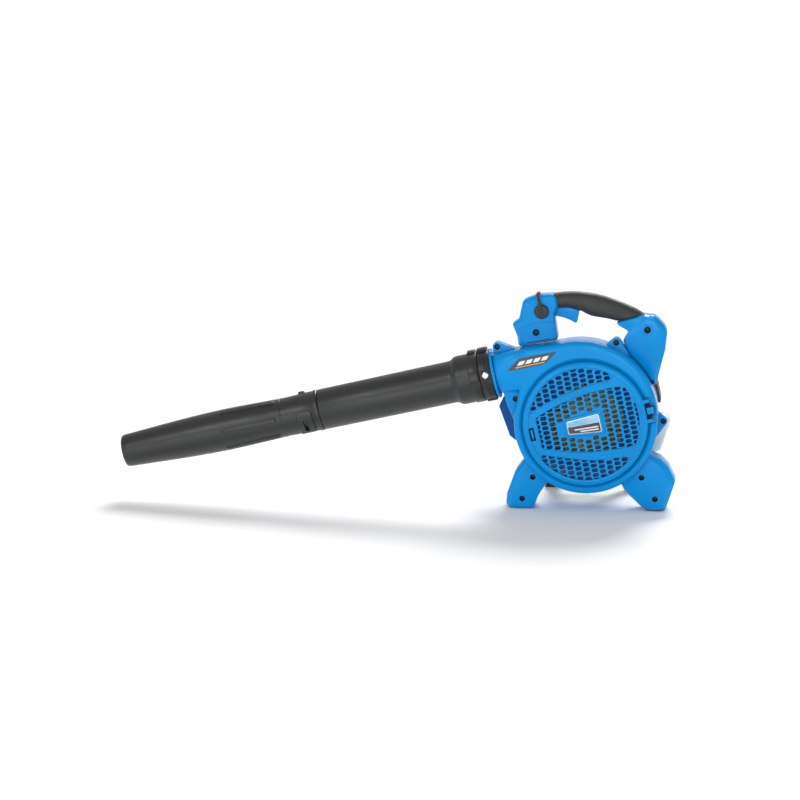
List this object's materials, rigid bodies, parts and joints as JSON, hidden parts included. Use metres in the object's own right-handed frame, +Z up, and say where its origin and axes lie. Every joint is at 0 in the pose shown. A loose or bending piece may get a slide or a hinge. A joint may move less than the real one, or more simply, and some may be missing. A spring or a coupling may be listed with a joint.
{
  "type": "hand-held leaf blower",
  "caption": "Hand-held petrol leaf blower: volute fan case with hinged inlet grille, top grip with throttle trigger, clamped blow pipe with twist-off nozzle, small two-stroke engine behind.",
  "frame": {"origin": "middle of the bounding box on the ground", "axes": "+X from the nozzle towards the fan case, along the object's length; +Y from the inlet grille towards the engine and starter; +Z up"},
  "size_m": [0.9475, 0.2372, 0.3631],
  "materials": {
    "blue_plastic": "glossy moulded nylon, fine texture",
    "black_plastic": "satin moulded black",
    "pipe_plastic": "semi-gloss blow-moulded charcoal",
    "grip_rubber": "matte soft overmould",
    "fan_plastic": "satin moulded, olive",
    "tank_plastic": "milky, translucent",
    "red_plastic": "glossy red",
    "case_grey": "satin moulded, warm grey",
    "filter_foam": "open-cell foam",
    "soft_rubber": "matte rubber",
    "cast_aluminium": "sand-cast, slightly rough",
    "bright_steel": "turned and plated",
    "dark_steel": "black oxide",
    "badge_print": "printed badge, plain stripes",
    "label_print": "printed film, plain"
  },
  "bodies": {
    "housing": {"air_cleaner_case": "case_grey", "air_filter": "filter_foam", "carburettor": "cast_aluminium", "case_screw_side": "dark_steel", "case_screw_top_left": "dark_steel", "case_screw_top_right": "dark_steel", "case_screw_web": "dark_steel", "clamp_screw": "bright_steel", "crankcase": "cast_aluminium", "cylinder": "cast_aluminium", "door_spring": "dark_steel", "engine_cover": "blue_plastic", "foot_screw_1": "dark_steel", "foot_screw_2": "dark_steel", "foot_screw_3": "dark_steel", "foot_screw_4": "dark_steel", "front_shell": "blue_plastic", "fuel_line": "soft_rubber", "fuel_tank": "tank_plastic", "grip": "grip_rubber", "handle_front_half": "blue_plastic", "handle_rear_half": "blue_plastic", "handle_screw_front": "dark_steel", "handle_screw_rear": "dark_steel", "hinge_pin": "dark_steel", "ignition_coil": "black_plastic", "ignition_lead": "soft_rubber", "intermediate_pipe": "pipe_plastic", "muffler": "dark_steel", "muffler_cover": "blue_plastic", "pipe_collar": "black_plastic", "piston": "cast_aluminium", "plug_cap": "soft_rubber", "rear_shell": "blue_plastic", "rear_stand": "black_plastic", "side_label": "label_print", "spark_plug": "bright_steel", "starter_case": "black_plastic", "trigger_pin": "bright_steel"},
    "door": {"inlet_door": "blue_plastic", "badge": "badge_print"},
    "latch": {"door_latch": "blue_plastic"},
    "crank": {"impeller": "fan_plastic", "fan_nut": "bright_steel", "crankshaft": "bright_steel", "flywheel": "cast_aluminium"},
    "trigger": {"trigger": "blue_plastic"},
    "cruise": {"cruise_lever": "black_plastic"},
    "stop_button": {"stop_switch": "red_plastic"},
    "nozzle_body": {"nozzle": "pipe_plastic"},
    "tank_cap": {"fuel_cap": "black_plastic"},
    "primer": {"primer_bulb": "soft_rubber"},
    "choke": {"choke_lever": "black_plastic"},
    "throttle": {"throttle_lever": "bright_steel"},
    "filter_lid": {"air_cleaner_cover": "black_plastic"},
    "starter_pull_body": {"starter_handle": "black_plastic", "starter_rope": "soft_rubber"},
    "reel": {"starter_reel": "black_plastic"}
  },
  "joints": [
    {"name": "door_hinge", "type": "hinge", "parent": "housing", "child": "door", "pos_m": [0.42917, -0.11445, 0.17341], "axis": [-0.225, 0, 0.9744], "range_deg": [0, 100], "stiffness_Nm_per_rad": 0.06, "springref_deg": -57.3},
    {"name": "latch_slide", "type": "slide", "parent": "housing", "child": "latch", "axis": [0.9744, 0, 0.225], "range_m": [0, 0.0025], "stiffness_N_per_m": 150, "springref_m": -0.001},
    {"name": "crank_spin", "type": "hinge", "parent": "housing", "child": "crank", "pos_m": [0.32345, -0.06845, 0.149], "axis": [0, 1, 0], "continuous": true},
    {"name": "trigger_pull", "type": "hinge", "parent": "housing", "child": "trigger", "pos_m": [0.26295, -0.04645, 0.3315], "axis": [0, -1, 0], "range_deg": [0, 14], "stiffness_Nm_per_rad": 0.6, "springref_deg": -8.59},
    {"name": "cruise_swing", "type": "hinge", "parent": "housing", "child": "cruise", "pos_m": [0.24635, -0.06845, 0.3303], "axis": [0, 1, 0], "range_deg": [0, 45]},
    {"name": "stop_press", "type": "slide", "parent": "housing", "child": "stop_button", "axis": [0, 0, -1], "range_m": [0, 0.002], "stiffness_N_per_m": 200, "springref_m": -0.001},
    {"name": "nozzle_twist", "type": "hinge", "parent": "housing", "child": "nozzle_body", "pos_m": [-0.15134, -0.07045, 0.15177], "axis": [-0.9744, 0, -0.225], "range_deg": [0, 22]},
    {"name": "tank_cap_turn", "type": "hinge", "parent": "housing", "child": "tank_cap", "pos_m": [0.43176, 0.02955, 0.11551], "axis": [0, 1, 0], "range_deg": [0, 90]},
    {"name": "primer_press", "type": "slide", "parent": "housing", "child": "primer", "axis": [-0.225, 0, 0.9744], "range_m": [0, 0.003], "stiffness_N_per_m": 150, "springref_m": -0.001},
    {"name": "choke_swing", "type": "hinge", "parent": "housing", "child": "choke", "pos_m": [0.37104, -0.00845, 0.21849], "axis": [0, 1, 0], "range_deg": [0, 45]},
    {"name": "throttle_turn", "type": "hinge", "parent": "housing", "child": "throttle", "pos_m": [0.36497, 0.02355, 0.21811], "axis": [0, -1, 0], "range_deg": [0, 56]},
    {"name": "filter_lid_hinge", "type": "hinge", "parent": "housing", "child": "filter_lid", "pos_m": [0.44388, 0.00955, 0.17414], "axis": [0, 1, 0], "range_deg": [0, 85]},
    {"name": "starter_pull", "type": "slide", "parent": "housing", "child": "starter_pull_body", "axis": [-0.6561, 0, 0.7547], "range_m": [0, 0.45], "stiffness_N_per_m": 8, "springref_m": -0.25},
    {"name": "reel_turn", "type": "hinge", "parent": "housing", "child": "reel", "pos_m": [0.32345, 0.06555, 0.149], "axis": [0, -1, 0], "range_deg": [0, 805.72]}
  ],
  "couplings": [
    {"joint": "throttle_turn", "follows": "trigger_pull", "ratio": 4},
    {"joint": "reel_turn", "follows": "starter_pull", "rad_per_m": 31.25}
  ]
}
